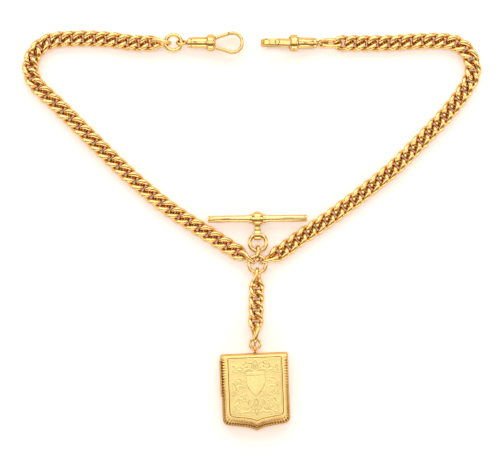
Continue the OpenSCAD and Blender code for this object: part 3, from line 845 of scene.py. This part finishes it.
# Start, heading in degrees, curl (1 is to the left) and length of each stem
STEMS = (
    ((-3.6, 7.6), 150, -1, 4.6), ((-4.2, 9.2), 30, 1, 3.6), ((-7.9, 7.0), 70, -1, 3.6),
    ((-4.0, 5.2), 200, 1, 4.2), ((-8.0, 3.6), 300, 1, 3.6), ((-3.9, 2.4), 160, -1, 4.0),
    ((-7.9, -0.4), 60, -1, 3.8), ((-3.4, -0.4), 215, 1, 4.4), ((-7.7, -4.0), 40, -1, 3.6),
    ((-2.2, -2.4), 240, -1, 4.0), ((-5.4, -6.6), 20, 1, 3.6), ((-1.0, -4.4), 225, 1, 3.8),
    ((-7.6, -6.9), 75, -1, 2.6), ((-1.9, 8.4), 160, -1, 2.4))
# Base, tip and bulge of each leaf above and below the cartouche
LEAVES = (
    ((0.0, 7.7), (0.0, 11.2), 0.2), ((-0.2, 7.8), (-1.5, 10.2), 0.2),
    ((0.2, 7.8), (1.5, 10.2), 0.2), ((0.0, -2.2), (0.0, -5.4), 0.16),
    ((0.0, -5.6), (0.0, -8.3), 0.2))


def cartouche_half_width(y):
    """Half the width of the blank shield in the middle of the engraving, at height y."""
    s = np.clip((y - CARTOUCHE_TIP) / (CARTOUCHE_TOP - CARTOUCHE_TIP), 0, 1)
    return CARTOUCHE_W * np.minimum(1, 1.06 * np.sin(math.pi / 2 * np.minimum(1, s * 1.5)))


def cartouche_outline():
    y = np.linspace(CARTOUCHE_TOP, CARTOUCHE_TIP, 60)
    left = np.column_stack([-cartouche_half_width(y), y])
    return np.concatenate([left, left[::-1] * np.array([-1.0, 1.0]), left[:1]])


def flourish(start, heading, curl, length):
    """A stem that leaves its start and curls up at its end, with a leaf on its back."""
    s = np.linspace(0, 1, 30)
    angle = math.radians(heading) + curl * 2 * math.pi * FLOURISH_TURNS * s ** 2
    step = length / len(s) * (1.25 - 0.75 * s)
    stem = np.cumsum(np.column_stack([np.cos(angle), np.sin(angle)]) * step[:, None], 0)
    stem += np.array(start)
    out = unit(np.array([math.sin(angle[10]), -math.cos(angle[10])]) * curl)
    side = leaf(stem[8], stem[8] + 1.3 * out + 0.5 * unit(stem[12] - stem[8]), 0.18)
    return [stem] + side


def engraving():
    """Scrolls and leaves on the left half of the panel, mirrored to the right."""
    half = [line for stem in STEMS for line in flourish(*stem)]
    flipped = [line * np.array([-1.0, 1.0]) for line in half]
    return half + flipped + [line for shape in LEAVES for line in leaf(*shape)]


def add_panel(place):
    """The raised shield: a bead round a field that is engraved about a blank cartouche."""
    edge = panel_outline(0.0)
    columns, rows = 231, 271
    half = PANEL_HALF - 0.001
    lower = edge[edge[:, 1] < PANEL_FOOT + 1.62]
    order = np.argsort(lower[:, 0])
    x = PANEL_SHIFT + np.linspace(-half, half, columns)
    foot = np.interp(x, lower[order, 0], lower[order, 1])
    v = np.linspace(0, 1, rows)
    gx = np.repeat(x[None], rows, 0)
    gy = foot[None] + (PANEL_TOP - foot[None]) * v[:, None]
    flat = np.stack([gx.ravel(), gy.ravel()], 1)
    rim = distance_to(flat, [np.concatenate([edge, edge[:1]])[::3]])
    base_z = CASE_T + SEAM + COVER_T
    top = base_z + PANEL_T
    across = np.clip(rim / PANEL_BEAD, 0, 1)
    field = np.clip((rim - PANEL_BEAD) / 0.25, 0, 1)
    height = np.where(rim < PANEL_BEAD, top - 0.02 - 0.2 * np.abs(2 * across - 1) ** 3,
                      top - 0.22 + 0.06 * field)
    local = flat - np.array([PANEL_SHIFT, 0.0])
    outline = distance_to(local, [cartouche_outline()])
    inside = ((np.abs(local[:, 0]) < cartouche_half_width(local[:, 1]))
              & (local[:, 1] < CARTOUCHE_TOP) & (local[:, 1] > CARTOUCHE_TIP))
    cuts = distance_to(local, engraving())
    depth = 0.13 * np.exp(-(cuts / 0.15) ** 2)
    ground = 0.02 * np.sin(local[:, 0] * 15.0) * np.sin(local[:, 1] * 17.0)
    swell = 0.04 * np.clip((cuts - 0.2) / 0.5, 0, 1)
    relief = np.where(inside, 0.0, -depth - swell + ground)
    band_line = np.exp(-((local[:, 1] - CARTOUCHE_BAND) / 0.1) ** 2) * inside
    relief -= 0.07 * np.exp(-(outline / 0.12) ** 2) + 0.05 * band_line
    height = height + relief * np.clip((rim - PANEL_BEAD - 0.1) / 0.3, 0, 1)
    points = np.column_stack([flat, height])
    faces = grid_faces(rows, columns)
    border = (list(range(columns)) + [i * columns + columns - 1 for i in range(1, rows)]
              + [(rows - 1) * columns + j for j in range(columns - 2, -1, -1)]
              + [i * columns for i in range(rows - 2, 0, -1)])
    skirt = points[border].copy()
    skirt[:, 2] = base_z - 0.05
    start = len(points)
    count = len(border)
    for i in range(count):
        j = (i + 1) % count
        faces.append((border[i], border[j], start + j, start + i))
    add_piece("locket_panel_look", place(np.concatenate([points, skirt])), faces, PALE_LIT_GOLD,
              "locket_cover", ["locket_panel"])


def loop_lengths(loop):
    """The distance along a closed loop at each point, and at its end."""
    closed = np.concatenate([loop, loop[:1]])
    return np.concatenate([[0], np.cumsum(np.linalg.norm(np.diff(closed, axis=0), axis=1))])


def milled(loop, z, radius, pitch):
    """A row of lobes round the edge of the case; none along its top."""
    closed = np.concatenate([loop, loop[:1]])
    length = loop_lengths(loop)
    lobes = round(length[-1] / pitch)
    steps = lobes * 8
    s = np.linspace(0, length[-1], steps, endpoint=False)
    path = np.stack([np.interp(s, length, closed[:, 0]), np.interp(s, length, closed[:, 1]),
                     np.full(steps, z)], 1)
    phase = 2 * math.pi * lobes * s / length[-1]
    share = np.clip((LOCKET_TOP - 0.8 - path[:, 1]) / 0.5, 0, 1)
    swell = 1 - 0.5 * share * (0.5 - 0.5 * np.cos(phase)) ** 1.5
    t = np.linspace(0, 2 * math.pi, 12, endpoint=False)
    section = radius * swell[:, None, None] * np.stack([np.cos(t), np.sin(t)], 1)[None]
    return sweep(path, np.tile(UP, (steps, 1)), section, True)


def cover_loops(base):
    """The convex border of the cover: it rises from the outline to the raised panel."""
    outer = locket_outline(COVER_INSET)
    inner = panel_outline(-0.18)
    length = loop_lengths(outer)
    phase = 2 * math.pi * round(length[-1] / LOBE_PITCH) * length[:-1] / length[-1]
    lobed = np.clip((LOCKET_TOP - 1.2 - outer[:, 1]) / 0.6, 0, 1) * (0.5 - 0.5 * np.cos(phase))
    outer = outer + (inner - outer) * (0.2 * lobed[:, None])
    edge_z = base + COVER_T - BORDER_RISE
    loops = [level(locket_outline(1.8), base + 0.6), level(locket_outline(1.8), base),
             level(locket_outline(0.5), base)]
    for z in (base + 0.15, edge_z - 0.25, edge_z):
        loops.append(level(outer, z))
    for s in BORDER_STEPS:
        loop = outer + (inner - outer) * s
        edge = min(1.0, s / 0.2)
        rise = BORDER_RISE * (0.88 * math.sqrt(1 - (1 - edge) ** 2) + 0.12 * math.sin(1.57 * s))
        notch = 0.65 * lobed * math.exp(-((s - 0.08) / 0.18) ** 2)
        loops.append(np.column_stack([loop, edge_z + rise - notch]))
    loops.append(level(panel_outline(0.0), base + COVER_T - 0.3))
    return loops


def add_hinge(place):
    """Knuckles tucked under the left edge, in turn on the case and on the cover."""
    step = HINGE_LENGTH / KNUCKLES
    r = KNUCKLE_R
    lobes = round(step / LOBE_PITCH)
    x = np.linspace(0.03, step - 0.03, 8 * lobes + 1)
    ridge = r - 0.2 * np.abs(np.cos(math.pi * lobes * x / step)) ** 3
    knuckle = [(x[0], 0.3)] + list(zip(x, ridge)) + [(x[-1], 0.3)]
    for i in range(KNUCKLES):
        points, faces = revolve(knuckle, 32)
        points = np.column_stack([points[:, 1] - HALF_W + 0.1,
                                  points[:, 0] + HINGE_FROM + i * step,
                                  points[:, 2] + CASE_T + SEAM / 2])
        body, node = (("locket", "locket_case"), ("locket_cover", "locket_cover"))[i % 2]
        add_piece(f"locket_knuckle_{i + 1}", place(points), faces, DARK_SHADED_GOLD, body,
                  [node])


def add_bail(place):
    """The loop on the case that the jump ring passes through, and its post."""
    at = np.array(JOINTS["locket_swing"]["pos_m"])
    points, faces = torus(BAIL_R, BAIL_WIRE)
    ring = Place(at, place.y, place.z)
    add_piece("locket_bail", ring(points), faces, DEEP_SHADED_GOLD, "locket",
              ["locket_case"])
    local = place.local(at)
    r = BAIL_WIRE / 2
    length = local[1] - BAIL_R - LOCKET_TOP + 0.1
    post = [(-0.3, r + 0.3), (0.05, r + 0.3), (0.2, r + 0.05), (0.3, r), (length, r)]
    points, faces = revolve(post, 40)
    points = np.column_stack([points[:, 1] + local[0], points[:, 0] + LOCKET_TOP,
                              points[:, 2] + local[2]])
    add_piece("locket_bail_post", place(points), faces, DEEP_SHADED_GOLD, "locket",
              ["locket_case"])


def add_locket():
    """The case with its milled edge, and the hinged cover with its panel."""
    place = locket_place()
    case = [level(locket_outline(i), z) for i, z in
            ((0.7, 0.0), (0.35, 0.08), (0.1, 0.3), (0.02, 0.6), (0.02, CASE_T - 0.5),
             (0.12, CASE_T - 0.12), (0.4, CASE_T), (1.75, CASE_T), (1.78, 1.0))]
    points, faces = stack(case)
    add_piece("locket_case_look", place(points), faces, DEEP_SHADED_GOLD, "locket",
              ["locket_case"])
    points, faces = milled(locket_outline(0.4), CASE_T - 0.3, 0.4, LOBE_PITCH)
    add_piece("locket_milled_edge", place(points), faces, DARK_SHADED_GOLD, "locket",
              ["locket_case"])
    points, faces = stack(cover_loops(CASE_T + SEAM))
    add_piece("locket_cover_look", place(points), faces, BORDER_GOLD, "locket_cover",
              ["locket_cover"])
    add_hinge(place)
    add_bail(place)
    add_panel(place)


# ---- Everything ------------------------------------------------------------------------

def finish_cad_nodes():
    """Materials for the CAD nodes that are shown as they are."""
    finishes = {"locket_crystal": CRYSTAL, "locket_rim": GOLD, "locket_hinge_pin": DEEP_SHADED_GOLD,
                "left_clip_gate_spring": STEEL, "right_clip_gate_spring": STEEL,
                "left_clip_gate_pin": DEEP_SHADED_GOLD, "right_clip_gate_pin": DEEP_SHADED_GOLD}
    for name, node in frame["nodes"].items():
        node.data.materials.clear()
        node.data.materials.append(finishes.get(name, GOLD))


TABLE_HALF = 1.5
TABLE_GLOW = (1.0, 0.80, 0.68, 1.0)
TABLE_GLOW_STRENGTH = 0.25


def add_floor():
    """A pale paper table. Its faint glow keeps the shadows light."""
    material, nodes, links, shader = new_material("table")
    paper = map_range(nodes, links, noise(nodes, links, 40.0), 0.3, 0.7)
    links.new(mix_colour(nodes, links, paper, (0.95, 0.94, 0.95), (0.97, 0.96, 0.98)),
              shader.inputs["Base Color"])
    shader.inputs["Emission Color"].default_value = TABLE_GLOW
    shader.inputs["Emission Strength"].default_value = TABLE_GLOW_STRENGTH
    shader.inputs["Roughness"].default_value = 0.9
    mesh = bpy.data.meshes.new("table")
    s = TABLE_HALF
    mesh.from_pydata([(-s, -s, 0), (s, -s, 0), (s, s, 0), (-s, s, 0)], [], [(0, 1, 2, 3)])
    mesh.materials.append(material)
    floor = bpy.data.objects.new("table", mesh)
    bpy.context.collection.objects.link(floor)


add_camera()
add_lights()
add_floor()
finish_cad_nodes()
add_branch("left")
add_branch("right")
add_drop_chain()
for ring_node in ("junction_ring", "left_ring", "t_bar_ring", "locket_ring"):
    add_flat_ring(ring_node)
add_oval_ring()
add_t_bar_link()
add_t_bar()
add_t_bar_eye()
add_clip("left")
add_clip("right")
add_locket()
